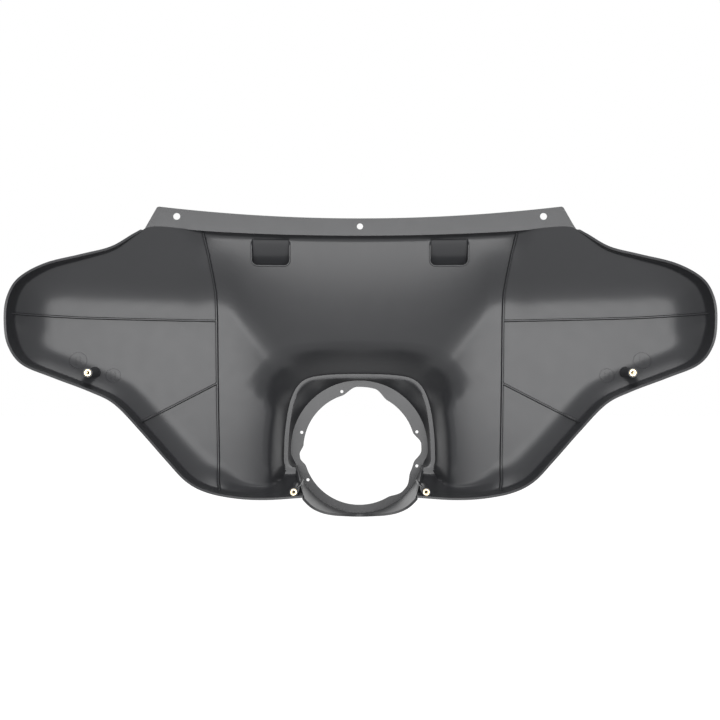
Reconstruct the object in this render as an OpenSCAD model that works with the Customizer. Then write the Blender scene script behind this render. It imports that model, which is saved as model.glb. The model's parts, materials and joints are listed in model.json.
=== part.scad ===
// Outer fairing of a touring motorcycle, one injection moulding with four brass inserts.
// It is drawn as it sits on the machine: X to the right, Y forward, Z up, millimetres.
// The origin is the centre of the lamp opening, on the rear face of the lamp flange.
// The rider's side, which carries the ribs and bosses, looks along -Y.

/* [Outline] */
// Overall width across the two wing tips
span = 900; // [860:5:940]
// Half length of the windshield strip, measured at its foot
strip_half = 272; // [262:1:280]
// Height of the sill, the line where the skin hangs from the windshield strip
sill_z = 299; // [290:1:310]
// Height of the outermost point of a wing
tip_z = 179; // [165:1:190]
// Depth of the belly edge below the lamp centre
belly_z = 59.5; // [56:0.5:63]

/* [Depth] */
// Distance from the lamp flange back to the wing tips
setback = 232; // [222:1:245]
// How far the edge at the centre line lies ahead of the wing tips
sweep = 105; // [95:1:112]
// Depth of a wing panel ahead of its edge
panel_h = 48; // [42:1:54]
// Straight part of the edge wall, before it leans inwards
lip_h = 20; // [16:1:24]
// Rise of the leaning edge wall for each millimetre inwards
wall_slope = 2.5; // [2.2:0.1:3.2]
// Depth gained by the gentle slope of the hood between the strip and the arch
hood_rake = 26; // [20:1:32]
// Half width of the hood's brow, the line along which it dives to the arch and the wing panels
brow_half = 215; // [205:1:225]
// Length over which the upper edge of a wing rolls into its panel
roll_len = 88; // [76:1:100]
// Depth reached by that roll
roll_h = 54; // [50:1:60]
// Depth of the small step under the windshield strip
step_h = 8; // [6:0.5:10]
// Size of the soft corner between the upper roll and the panels
blend = 16; // [12:1:20]
// Size of the soft corner along the lower ledge
ledge_blend = 9; // [6:1:16]

/* [Wall] */
// Thickness of the skin
wall = 3; // [2.6:0.1:3.4]

/* [Ribs and pockets] */
// Thickness of a stiffening rib
rib_w = 2.2; // [2:0.1:3]
// Height of a stiffening rib above the skin
rib_h = 5; // [4:0.5:7]
// Distance from the centre line to the upright rib, at the bend where it meets the level rib
rib_x = 197.5; // [192:0.5:203]
// Height of the level rib at its inner end
rib_level_z = 184; // [178:1:189]
// Height of the raked rib at its inner end
rib_raked_z = 98; // [92:1:104]
// Distance from the centre line to the outer end of the raked rib
rib_raked_x = 294; // [290:0.5:298]
// Distance from the centre line to the outer side of a pocket under the strip
pocket_out = 147; // [140:1:154]
// Distance from the centre line to the inner side of a pocket
pocket_in = 97; // [90:1:104]
// Height of the lower side of a pocket
pocket_low = 260; // [255:1:268]
// Corner radius of a pocket
pocket_r = 7; // [4:0.5:10]
// Height of a pocket's rim above the skin
pocket_rim = 2.5; // [1.5:0.5:4]
// Thickness of a pocket's walls
pocket_t = 2; // [1.8:0.1:2.4]
// Depth of a pocket's floor below the skin round it, at its upper end
pocket_shallow = 2.5; // [2:0.1:3]
// How much deeper the floor lies at its lower end
pocket_dip = 11; // [8:0.5:14]

/* [Nacelle] */
// Height of the arch that frames the lamp, at its crown
arch_top = 110.5; // [108:0.5:116]
// Half width of the arch at its feet
arch_half = 109.5; // [108.5:0.5:113]
// Distance from the arch band forward to the lamp flange
arch_set = 27; // [23:1:32]
// Width of the flat band round the arch
band_w = 6; // [4:0.5:7]
// Length over which the nacelle sides run out into the wing panels
flare = 24; // [20:1:30]

/* [Lamp seat] */
// Radius of the lamp opening
opening_r = 82.6; // [80:0.2:84]
// Radius reached by the two large relief lobes of the opening
lobe_r = 91.5; // [90:0.5:92]
// Radius of the circle that carries the lamp screws
screw_circle_r = 88.5; // [87.5:0.1:89]
// Radius of a lamp screw hole
screw_hole_r = 2.3; // [2:0.1:2.5]
// Thickness of the lamp flange
flange_t = 3; // [2.5:0.1:4]
// Radius of the seat inside the arch
seat_r = 101; // [100:0.5:102]
// Inner radius of the chin wall
chin_r = 94.5; // [94:0.1:95]
// Thickness of the chin wall
chin_t = 3.5; // [3.2:0.1:4]
// Length of the collar ahead of the lamp flange
collar_len = 20; // [14:1:26]

/* [Windshield strip] */
// Height of the strip above the sill at the centre line
strip_h = 23; // [20:0.5:26]
// Thickness of the strip
strip_t = 3; // [2.6:0.1:3.6]
// Rise of the strip's upper edge from the centre to its ends
strip_rise = 11; // [8:0.5:13]
// Distance from the strip's end in to an outer screw hole
strip_hole_in = 28; // [24:1:37]
// Height of the outer screw holes above the sill
strip_hole_z = 21.5; // [20.5:0.5:23]
// Radius of an outer screw hole
strip_hole_r = 4.6; // [4:0.1:6]
// Height of the centre screw hole above the sill
strip_mid_z = 12.2; // [10:0.2:14]
// Radius of the centre screw hole
strip_mid_r = 4.2; // [3.5:0.1:5]

/* [Bosses and inserts] */
// Distance from the wing tip in to a wing boss
wing_boss_in = 95; // [90:1:103]
// Height of a wing boss
wing_boss_z = 112.5; // [108:0.5:118]
// Radius of a wing boss
wing_boss_r = 6.5; // [6:0.1:7.5]
// Distance from the centre line to a lower boss
low_boss_x = 90; // [89:0.5:92]
// Depth of a lower boss below the lamp centre
low_boss_z = 49.5; // [49:0.5:50]
// Radius of a lower boss
low_boss_r = 6.2; // [6:0.1:6.4]
// Outside radius of an insert
insert_r = 4.4; // [4:0.1:4.6]
// Length of an insert
insert_len = 12; // [10:0.5:14]
// Radius of the threaded hole, measured at the crests of its thread
thread_r = 2.1; // [1.8:0.1:2.6]
// How far a wing boss ends ahead of the moulding's edge
boss_set = 5; // [3:0.5:8]
// How far a lower boss ends ahead of the moulding's edge
low_boss_set = 3; // [2:0.5:5]
// Clearance between an insert and its pocket
insert_gap = 0.05; // [0.02:0.01:0.1]
// How far an insert stands behind its boss
insert_proud = 0.2; // [0:0.1:0.4]
// Size of the cone that leads a screw into an insert
lead_in = 0.6; // [0.3:0.1:0.8]

/* [Hidden] */
half_span = span / 2;
wing_boss_x = half_span - wing_boss_in;
strip_hole_x = strip_half - strip_hole_in;
plan_r = (half_span * half_span + sweep * sweep) / (2 * sweep);
sill_edge = sill_z + wall;
band_y = -arch_set;
// Directions of the five lamp screw holes round the opening
screw_angles = [-16.5, 16.5, 107, 164, 211];

// Half outline of the skin. A point is [share of the way out, share of the way up or down]: a share of x above 0
// counts from the strip's end to the wing tip, and one below 0 from the strip's end back to the chin.
upper_shape = [[0, 1.057], [0.135, 0.963], [0.303, 0.805], [0.506, 0.711], [0.742, 0.602], [0.91, 0.439],
    [0.983, 0.236], [1, 0]];
lower_shape = [[0.978, 0.13], [0.888, 0.235], [0.69, 0.306], [0.45, 0.382], [0.281, 0.453], [0.101, 0.604],
    [-0.072, 0.767], [-0.206, 0.889], [-0.35, 0.954], [-0.55, 0.99], [-0.756, 1]];
function wing_x(share) = strip_half + share * (share > 0 ? half_span - strip_half : strip_half - chin_edge_x);
chin_mid_r = chin_r + chin_t / 2;
chin_edge_z = belly_z - 2.5;
chin_edge_x = sqrt(chin_mid_r * chin_mid_r - chin_edge_z * chin_edge_z);
outline_pts = concat(
    [[0, sill_edge], [0.37 * strip_half, sill_edge + 0.8], [0.74 * strip_half, sill_edge + 3.3]],
    [for (s = upper_shape) [wing_x(s.x), tip_z + s.y * (sill_edge - tip_z)]],
    [for (s = lower_shape) [wing_x(s.x), tip_z - s.y * (tip_z + belly_z)]],
    [[chin_edge_x, -chin_edge_z]]);
tip_index = 2 + len(upper_shape);

// Half outline of the arch, from its crown round the shoulder and down to its foot
foot_x = sqrt(chin_mid_r * chin_mid_r - 26 * 26);
arch_pts = [[0, arch_top], [45, arch_top - 1.2], [74, arch_top - 6], [0.82 * arch_half, arch_top - 17.5],
    [0.909 * arch_half, arch_top - 37.5], [0.959 * arch_half, arch_top - 61.5], [0.99 * arch_half, 20],
    [arch_half, -8], [arch_half - 1, -20], [arch_half - 7, -25.5], [foot_x, -26]];
// Which point of the arch each point of the outline is drawn towards
fan = [[0, 0], [2, 1.7], [3, 2.5], [4, 3.1], [7, 4], [10, 4.8], [14, 5.6], [18, 6.5], [20, 7.3], [21, 8.6], [22, 10]];

// Distances of the grid rows from the edge, shares of the middle stretch, and distances from the arch
edge_rows = [0, 1, 3, 6, 10, 15, 22, 32, 46];
middle_rows = [0.1, 0.24, 0.4, 0.6, 0.8];
arch_rows = [34, 21, 12, 5, 0];
// How far a grid line leans from its chord towards the normal, at the edge and at the arch
edge_lean = 0.2;
arch_lean = 0.6;

function unit(v) = v / norm(v);
function cross2(v) = [-v.y, v.x];
function smooth(t) = let (c = min(1, max(0, t))) c * c * (3 - 2 * c);
function quarter(t) = let (c = 1 - min(1, max(0, t))) sqrt(1 - c * c);

// Smooth curve through a list of points, at index u, and its direction
function at(pts, k) = k < 0 ? [-pts[-k].x, pts[-k].y] : k < len(pts) ? pts[k] : 2 * pts[len(pts) - 1] - pts[len(pts) - 2];
function curve(pts, u) = let (k = min(floor(u), len(pts) - 2), t = u - k, a = at(pts, k - 1), b = pts[k],
    c = pts[k + 1], d = at(pts, k + 2))
    0.5 * (2 * b + (c - a) * t + (2 * a - 5 * b + 4 * c - d) * t * t + (3 * b - a - 3 * c + d) * t * t * t);
function heading(pts, u) = let (e = 0.02) unit(curve(pts, min(u + e, len(pts) - 1)) - curve(pts, max(u - e, 0)));

// Inner edge of the wall, one wall thickness inside the outline
function inner_edge(u) = curve(outline_pts, u) + wall * edge_normal(u);
function edge_normal(u) = u == 0 ? [0, -1] : -cross2(heading(outline_pts, u));
// Grid lines start here along the outline: three for each of its first two points, then two for each
line_u = concat([for (k = [0 : 5]) k / 3], [for (k = [4 : 2 * (len(outline_pts) - 1)]) k / 2]);
edge_line = [for (u = line_u) inner_edge(u)];
tip_line = 2 * tip_index + 2;

function to_segment(p, a, b) = let (ab = b - a, t = min(1, max(0, (p - a) * ab / (ab * ab)))) norm(p - a - t * ab);
function to_line(p, from, to) = min([for (k = [from : to - 1]) to_segment(p, edge_line[k], edge_line[k + 1])]);

// Depth of the skin's rear surface. Every height is counted forward from the edge of the moulding.
function edge_y(x) = sweep - setback - (plan_r - sqrt(plan_r * plan_r - x * x));
function soft_min(a, b, size) = let (k = max(0.001, min(size, a + b)), h = max(k - abs(a - b), 0) / k)
    min(a, b) - h * h * k / 4;
hood_len = sill_z - arch_top;
hood_drop = band_y - edge_y(0);
function brow(x) = hood_len * pow(max(0.3, 1 - pow(x / brow_half, 2)), 0.75);
function hood(x, d) = let (w = smooth((x - brow_half + 50) / 70))
    (1 - w) * (step_h * quarter(d / step_h) + hood_rake * d / hood_len
        + (hood_drop - step_h - hood_rake) * pow(min(1.3, d / brow(x)), 7))
    + w * (roll_h * quarter(d / roll_len) + (hood_drop - roll_h) * pow(max(0, d - roll_len) / (hood_len - roll_len), 1.9));
function side_wall(d) = lip_h * quarter(d / 3) + wall_slope * d;
function leg_x(z) = z > arch_top - 20 ? 0.8 * arch_half : curve(arch_pts, 3 + 5 * smooth((arch_top - 20 - z) / 110)).x;
function panel(x, z) = panel_h + (band_y - edge_y(x) - panel_h) * exp(-max(0, x - leg_x(z)) / flare);
function skin_y(x, z) = let (ax = abs(x), p = [ax, z], top = hood(ax, to_line(p, 0, tip_line)),
    low = side_wall(to_line(p, tip_line, len(edge_line) - 1)))
    edge_y(ax) + soft_min(soft_min(top, panel(ax, z), blend), low, ledge_blend);

// One line of the grid, from the edge to the seat of the lamp flange
function between(a, da, b, db, t) = (2 * t * t * t - 3 * t * t + 1) * a + (t * t * t - 2 * t * t + t) * da
    + (3 * t * t - 2 * t * t * t) * b + (t * t * t - t * t) * db;
function seat_radius(z) = chin_mid_r + (seat_r - chin_mid_r) * smooth((z + 26) / 20);
function under_strip(u) = 1 - smooth((u - 2.4) / 0.5);
function lean(chord, normal, share) = unit((1 - share) * chord + share * normal);
function grid_line(u) = let (a = inner_edge(u), v = lookup(u, fan), b = curve(arch_pts, v), reach = norm(b - a),
    chord = (b - a) / reach, inward = v == 0 ? [0, -1] : -cross2(heading(arch_pts, v)),
    da = reach * lean(chord, edge_normal(u), edge_lean), db = reach * lean(chord, inward, arch_lean),
    fit = min(1, reach / 120), near = fit * edge_rows[len(edge_rows) - 1], far = fit * arch_rows[0],
    shares = concat([for (d = edge_rows) fit * d / reach],
        [for (m = middle_rows) (near + m * (reach - near - far)) / reach],
        [for (d = arch_rows) 1 - fit * d / reach]),
    skin = [for (t = shares) let (p = between(a, da, b, db, t))
        [p.x, t == 0 ? edge_y(p.x) + under_strip(u) : t == 1 ? band_y : min(band_y, skin_y(p.x, p.y)), p.y]],
    r = norm(b), rs = min(r, seat_radius(b.y)), ri = max(rs, r - band_w), rim = b / r)
    concat(skin, [[rim.x * ri, band_y + 0.5, rim.y * ri], [rim.x * rs, flange_t / 2 - 0.6, rim.y * rs]]);
half_grid = [for (u = line_u) grid_line(u)];

function flip(p) = [-p.x, p.y, p.z];
function node_at(i, j) = i < 0 ? flip(half_grid[-i][j]) : half_grid[i][j];
last_line = len(half_grid) - 1;
last_row = len(half_grid[0]) - 1;
// Forward normal of the rear surface at a grid point; on the edge it lies in the edge's own plane
function skin_normal(i, j) = j == 0 ? let (n = -edge_normal(line_u[i])) [n.x, 0, n.y]
    : unit(cross(node_at(min(i + 1, last_line), j) - node_at(i - 1, j), node_at(i, min(j + 1, last_row)) - node_at(i, j - 1)));
half_outer = [for (i = [0 : last_line]) [for (j = [0 : last_row]) half_grid[i][j] + wall * skin_normal(i, j)]];

module skin() {
    rows = last_row + 1;
    whole = [for (i = [-last_line : last_line]) for (j = [0 : last_row]) i < 0 ? flip(half_grid[-i][j]) : half_grid[i][j]];
    front = [for (i = [-last_line : last_line]) for (j = [0 : last_row]) i < 0 ? flip(half_outer[-i][j]) : half_outer[i][j]];
    lines = 2 * last_line + 1;
    n = lines * rows;
    function quad(a, b, c, d) = [[a, b, c], [a, c, d]];
    sheets = [for (i = [0 : lines - 2]) for (j = [0 : rows - 2]) let (a = i * rows + j, b = a + rows)
        each concat(quad(a, b, b + 1, a + 1), quad(n + a, n + a + 1, n + b + 1, n + b))];
    edges = [for (i = [0 : lines - 2]) let (a = i * rows, b = a + rows, c = a + rows - 1, d = b + rows - 1)
        each concat(quad(a, n + a, n + b, b), quad(c, d, n + d, n + c))];
    ends = [for (j = [0 : rows - 2]) let (a = j, b = (lines - 1) * rows + j)
        each concat(quad(a, a + 1, n + a + 1, n + a), quad(b, n + b, n + b + 1, b + 1))];
    polyhedron(points = concat(whole, front), faces = concat(sheets, edges, ends));
}

// A straight rib from a to b, [x, z] points: a plate cut to the skin that never rises above the moulding's edge
module rib(a, b, height = rib_h, n = 10) {
    reach = norm(b - a);
    step = (b - a) / n;
    function slope(p) = let (y = skin_y(p.x, p.y)) norm([1, skin_y(p.x + 1, p.y) - y, skin_y(p.x, p.y + 1) - y]);
    stations = [for (k = [0 : n]) let (p = a + k * step, y = skin_y(p.x, p.y))
        [k * reach / n, max(edge_y(abs(p.x)) + 0.4, y - height), y + wall * 0.6 * min(slope(p), 2.5)]];
    translate([a.x, 0, a.y]) rotate([0, -atan2(b.y - a.y, b.x - a.x), 0]) linear_extrude(rib_w, center = true)
        polygon(concat([for (s = stations) [s.x, s.y]], [for (k = [n : -1 : 0]) [stations[k].x, stations[k].z]]));
}

rib_top = [rib_x + 13.5, sill_z + 1];
rib_knee = [rib_x + 3, sill_z - 57];
rib_bend = [rib_x, sill_z - 110];
rib_end = [rib_x - 6, 8.5 - belly_z];

module rib_chain(points, height, n) {
    for (k = [0 : len(points) - 2]) let (a = points[k], b = points[k + 1], past = rib_w * 0.2 * unit(b - a))
        rib(a - past, b + past, height, n);
}
module ribs() {
    for (side = [0, 1]) mirror([side, 0, 0]) {
        rib_chain([rib_top, rib_knee, rib_bend], rib_h, 8);
        rib(rib_bend, rib_end, rib_h, 20);
        rib([rib_x - rib_w, rib_level_z], [half_span - wall / 2, rib_level_z + 4.5], rib_h, 18);
        rib([rib_x - rib_w, rib_raked_z], [rib_raked_x, rib_raked_z - 51], rib_h, 10);
    }
}

// A pocket is a small tub that is let into the skin under the strip. Its outline runs down the outer side and up
// the inner side, with its lower corners rounded, and can be grown by g.
pocket_mid = (pocket_in + pocket_out) / 2;
pocket_top = sill_z - 4;
function pocket_side(g) = let (half = (pocket_out - pocket_in) / 2, r = pocket_r + g)
    concat([for (k = [0 : 4]) [half + g, pocket_top + g - k / 5 * (pocket_top - pocket_low - pocket_r + g)]],
        arc([half - pocket_r, pocket_low + pocket_r], r, 0, -90, 3));
function pocket_outline(g) = let (side = pocket_side(g)) concat([for (p = side) [pocket_mid + p.x, p.y]],
    [for (k = [len(side) - 1 : -1 : 0]) [pocket_mid - side[k].x, side[k].y]]);
// The rim sinks into the skin at the pocket's upper end, and the floor dips towards its lower end
function pocket_lip(z) = pocket_rim * smooth((pocket_top - z) / 10) - 1.2 * smooth(1 - (pocket_top - z) / 10);
function pocket_floor(z) = pocket_shallow + pocket_dip * pow(min(1, max(0, (pocket_top - z) / (pocket_top - pocket_low))), 1.6);
module pocket() {
    inside = pocket_outline(0);
    outside = pocket_outline(pocket_t);
    n = len(inside);
    points = concat([for (p = inside) [p.x, skin_y(p.x, p.y) - pocket_lip(p.y), p.y]],
        [for (p = outside) [p.x, skin_y(p.x, p.y) - pocket_lip(p.y), p.y]],
        [for (p = outside) [p.x, skin_y(p.x, p.y) + pocket_floor(p.y) + pocket_t, p.y]],
        [for (p = inside) [p.x, skin_y(p.x, p.y) + pocket_floor(p.y), p.y]]);
    function ring_quads(from, to) = [for (k = [0 : n - 1]) let (a = from * n, b = to * n, next = (k + 1) % n)
        each [[a + k, b + next, a + next], [a + k, b + k, b + next]]];
    front_floor = [for (k = [0 : n / 2 - 2]) let (a = 2 * n + k, b = 3 * n - 1 - k)
        each [[a, b - 1, a + 1], [a, b, b - 1]]];
    rear_floor = [for (k = [0 : n / 2 - 2]) let (a = 3 * n + k, b = 4 * n - 1 - k)
        each [[a, a + 1, b - 1], [a, b - 1, b]]];
    polyhedron(points = points,
        faces = concat(ring_quads(0, 1), ring_quads(1, 2), ring_quads(3, 0), front_floor, rear_floor));
}
module pocket_hole() {
    forward(-setback) linear_extrude(setback - arch_set) polygon(pocket_outline(pocket_t / 2));
}

// The strip that carries the windshield: a curved band cut to its outline
strip_centre_y = sweep - setback - plan_r;
function arc(c, r, from, to, n) = [for (k = [0 : n]) let (a = from + (to - from) * k / n) c + r * [cos(a), sin(a)]];
function strip_top(x) = sill_z + strip_h + strip_rise * pow(x / strip_half, 2);
strip_edge = concat(
    [for (k = [0 : 8]) let (x = k / 8 * (strip_half - 6)) [x, strip_top(x)]],
    arc([strip_half - 6, strip_top(strip_half - 6) - 4], 4, 70, 22, 2),
    [[strip_half + 4.5, sill_edge + 9], [strip_half + 6.8, sill_edge + 5.4], curve(outline_pts, 3.6) - [0, 1.5]],
    [for (k = [15 : -1 : 1]) inner_edge(k / 4) - [0, 0.5]]);
module strip() {
    difference() {
        intersection() {
            translate([0, strip_centre_y, sill_z - 20]) difference() {
                cylinder(h = strip_h + strip_rise + 40, r = plan_r + strip_t, $fn = 720);
                translate([0, 0, -1]) cylinder(h = strip_h + strip_rise + 42, r = plan_r, $fn = 720);
            }
            rotate([90, 0, 0]) linear_extrude(setback) polygon(concat(strip_edge, [[0, sill_z - 0.5]],
                [for (k = [len(strip_edge) - 1 : -1 : 1]) [-strip_edge[k].x, strip_edge[k].y]]));
        }
        for (side = [-1, 1]) through(side * strip_hole_x, sill_z + strip_hole_z, strip_hole_r);
        through(0, sill_z + strip_mid_z, strip_mid_r);
    }
}
module through(x, z, r) {
    translate([x, edge_y(abs(x)) - 10, z]) rotate([-90, 0, 0]) cylinder(h = 30, r = r, $fn = 48);
}

// Lamp seat: flange with its lobed opening, collar ahead of it and chin wall behind it
function polar(r, a) = r * [cos(a), sin(a)];
// Each relief lobe is [middle, half width at its crest, half width at its foot, how far it stops short of lobe_r]
lobes = [[84, 8, 24, 0], [1.5, 3, 16, 0], [-42, 2.5, 18, 2.2], [187, 1.5, 11, 3]];
function lobe_rise(a, l) = let (off = abs((a - l[0] + 540) % 360 - 180))
    (lobe_r - l[3] - opening_r) * smooth((l[2] - off) / (l[2] - l[1]));
module opening() {
    polygon([for (a = [0 : 2 : 358]) polar(opening_r + max([for (l = lobes) lobe_rise(a, l)]), a)]);
}
module forward(y) {
    translate([0, y, 0]) rotate([90, 0, 0]) mirror([0, 0, 1]) children();
}
outer_r = chin_r + chin_t;
module flange() {
    difference() {
        forward(0) linear_extrude(flange_t) difference() {
            union() {
                circle(r = outer_r, $fn = 180);
                intersection() {
                    circle(r = seat_r + wall / 2, $fn = 180);
                    translate([-2 * seat_r, -27]) square([4 * seat_r, 3 * seat_r]);
                }
            }
            opening();
        }
        for (a = screw_angles) let (p = polar(screw_circle_r, a))
            translate([p.x, -1, p.y]) rotate([-90, 0, 0]) cylinder(h = flange_t + 2, r = screw_hole_r, $fn = 32);
    }
}
module collar() {
    forward(flange_t - 0.5) rotate_extrude($fn = 180) polygon([[outer_r - wall, 0], [outer_r, 0],
        [outer_r, collar_len - 1.5], [outer_r - 1, collar_len], [outer_r - wall + 1, collar_len], [outer_r - wall, collar_len - 1.5]]);
}
// The chin's rear edge in side view, from the belly down and forward to the foot of the flange, as [y, z]
belly_y = edge_y(chin_edge_x);
chin_drop = outer_r - chin_edge_z;
chin_edge = [for (s = [[0, 0.01], [0.07, 0.3], [0.28, 0.55], [0.55, 0.74], [0.78, 0.86], [0.93, 0.945], [1, 1.05]])
    [belly_y * (1 - s.x), -chin_edge_z - s.y * chin_drop]];
// Upper edge of the chin wall, hidden in the skin's end: where it starts and how far it runs back and down
chin_crown = [band_y + 4, -24];
chin_run = [belly_y + 12, 2 - chin_edge_z] - chin_crown;
module chin() {
    intersection() {
        rotate([90, 0, 0]) translate([0, 0, -flange_t]) difference() {
            cylinder(h = setback, r = outer_r, $fn = 180);
            translate([0, 0, -1]) cylinder(h = setback + 2, r = chin_r, $fn = 180);
        }
        rotate([90, 0, 90]) translate([0, 0, -outer_r - 5]) linear_extrude(2 * outer_r + 10)
            polygon(concat([for (u = [0 : 0.5 : 6]) curve_open(chin_edge, u)],
                [[flange_t / 2, -outer_r - 5], [flange_t / 2, chin_crown.y]],
                [for (s = [[0, 0], [0.6, 0.52], [0.85, 0.84], [1, 1]]) chin_crown + [s.x * chin_run.x, s.y * chin_run.y]]));
    }
}
function curve_open(pts, u) = let (k = min(floor(u), len(pts) - 2), t = u - k, a = k == 0 ? 2 * pts[0] - pts[1] : pts[k - 1],
    b = pts[k], c = pts[k + 1], d = at(pts, k + 2))
    0.5 * (2 * b + (c - a) * t + (2 * a - 5 * b + 4 * c - d) * t * t + (3 * b - a - 3 * c + d) * t * t * t);

// Bosses that take the brass inserts, and the insert itself
wing_boss_y = edge_y(wing_boss_x) + boss_set;
low_boss_y = edge_y(low_boss_x) + low_boss_set;
module pocketed_boss(x, y, z, r, y_root) {
    translate([x, y, z]) rotate([-90, 0, 0]) difference() {
        cylinder(h = y_root - y, r = r, $fn = 48);
        translate([0, 0, -1]) cylinder(h = insert_len + 3, r = insert_r + insert_gap, $fn = 48);
    }
}
module bosses() {
    for (side = [-1, 1]) {
        pocketed_boss(side * wing_boss_x, wing_boss_y, wing_boss_z, wing_boss_r,
            skin_y(wing_boss_x, wing_boss_z) + wall / 2);
        mirror([side < 0 ? 1 : 0, 0, 0]) low_boss();
    }
}
// The lower boss stands in the corner of belly and chin; what would reach through the belly is cut off
module low_boss() {
    root = skin_y(low_boss_x, -low_boss_z + low_boss_r) + 1;
    fin = 2;
    difference() {
        union() {
            pocketed_boss(low_boss_x, low_boss_y, -low_boss_z, low_boss_r, root);
            translate([low_boss_x, low_boss_y + 3, -low_boss_z]) rotate([0, -135, 0])
                translate([low_boss_r - 1, 0, -fin / 2]) cube([9, root - low_boss_y, fin]);
        }
        translate([low_boss_x - 20, edge_y(low_boss_x) + lip_h, -belly_z + wall / 2])
            rotate([-90 + atan(wall_slope), 0, 0]) translate([0, -60, -10]) cube([40, 60, 80]);
    }
}
module insert(x, y, z) {
    groove = insert_r - 0.5;
    translate([x, y - insert_proud, z]) rotate([-90, 0, 0]) rotate_extrude($fn = 48)
        polygon([[thread_r + lead_in, 0], [insert_r, 0], [insert_r, 0.36 * insert_len], [groove, 0.4 * insert_len],
            [groove, 0.52 * insert_len], [insert_r, 0.56 * insert_len], [insert_r, 0.88 * insert_len],
            [insert_r - 0.7, insert_len], [thread_r, insert_len], [thread_r, lead_in]]);
}
module wing_insert(side) {
    color("goldenrod") insert(side * wing_boss_x, wing_boss_y, wing_boss_z);
}
module low_insert(side) {
    color("goldenrod") insert(side * low_boss_x, low_boss_y, -low_boss_z);
}

module outer_shell() {
    color([0.16, 0.165, 0.17]) union() {
        difference() {
            skin();
            for (side = [0, 1]) mirror([side, 0, 0]) pocket_hole();
        }
        for (side = [0, 1]) mirror([side, 0, 0]) pocket();
        ribs();
        strip();
        flange();
        collar();
        chin();
        bosses();
    }
}

outer_shell();
wing_insert(-1);  // insert_wing_left
wing_insert(1);  // insert_wing_right
low_insert(-1);  // insert_lower_left
low_insert(1);  // insert_lower_right
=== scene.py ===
"""Looks of an outer motorcycle fairing seen from the rider's side: a black moulding and four brass inserts.

Lengths are millimetres in the part's own frame, X right, Y forward, Z up, and become metres in the meshes.
"""

import json
import logging
import math
from collections.abc import Sequence
from dataclasses import dataclass, field
from enum import Enum

import bmesh
import bpy
import numpy as np
from bmesh.types import BMesh, BMFace, BMVert
from bpy.types import Material, Node, NodeSocket, NodeTree, Object
from mathutils import Matrix, Vector

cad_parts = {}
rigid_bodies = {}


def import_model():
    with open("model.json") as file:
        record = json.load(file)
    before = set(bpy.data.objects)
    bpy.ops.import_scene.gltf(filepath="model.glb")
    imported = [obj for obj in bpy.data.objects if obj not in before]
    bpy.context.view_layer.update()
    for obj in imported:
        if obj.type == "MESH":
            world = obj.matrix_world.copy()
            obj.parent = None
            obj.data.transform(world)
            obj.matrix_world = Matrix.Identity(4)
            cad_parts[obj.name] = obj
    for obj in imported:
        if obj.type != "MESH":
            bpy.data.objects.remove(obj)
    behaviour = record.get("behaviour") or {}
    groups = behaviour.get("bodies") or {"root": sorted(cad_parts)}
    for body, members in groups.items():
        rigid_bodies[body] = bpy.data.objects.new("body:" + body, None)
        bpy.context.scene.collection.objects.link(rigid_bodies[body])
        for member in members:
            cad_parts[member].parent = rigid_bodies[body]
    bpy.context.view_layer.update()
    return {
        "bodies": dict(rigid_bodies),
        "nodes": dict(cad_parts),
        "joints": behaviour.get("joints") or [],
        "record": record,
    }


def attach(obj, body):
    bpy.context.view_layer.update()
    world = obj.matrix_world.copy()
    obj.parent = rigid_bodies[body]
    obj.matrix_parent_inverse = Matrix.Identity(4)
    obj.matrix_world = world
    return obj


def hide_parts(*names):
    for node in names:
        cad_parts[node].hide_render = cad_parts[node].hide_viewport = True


Values = np.ndarray | float
Points = Sequence[tuple[float, float]]

MM = 0.001
WELD = 1e-7
BEVELLED_CREASE = 18
BODY = "root"
log = logging.getLogger("fairing")


class Slot(Enum):
    """Material slots of the record."""

    MOULDING = "moulding"
    BRASS = "brass"


# Finishes


def new_material(name: str) -> tuple[Material, NodeTree, Node]:
    """Makes a material, and gives it with its node tree and its shader."""
    mat = bpy.data.materials.new(name)
    mat.use_nodes = True
    return mat, mat.node_tree, mat.node_tree.nodes["Principled BSDF"]


def noise(tree: NodeTree, scale: float, detail: float) -> NodeSocket:
    """Adds a noise texture on Object coordinates.

    Args:
        tree: node tree of the material.
        scale: features per metre.
        detail: octaves of finer noise.

    Returns:
        The socket with the noise value.
    """
    where, texture = tree.nodes.new("ShaderNodeTexCoord"), tree.nodes.new("ShaderNodeTexNoise")
    texture.inputs["Scale"].default_value = scale
    texture.inputs["Detail"].default_value = detail
    tree.links.new(where.outputs["Object"], texture.inputs["Vector"])
    return texture.outputs["Fac"]


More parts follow.
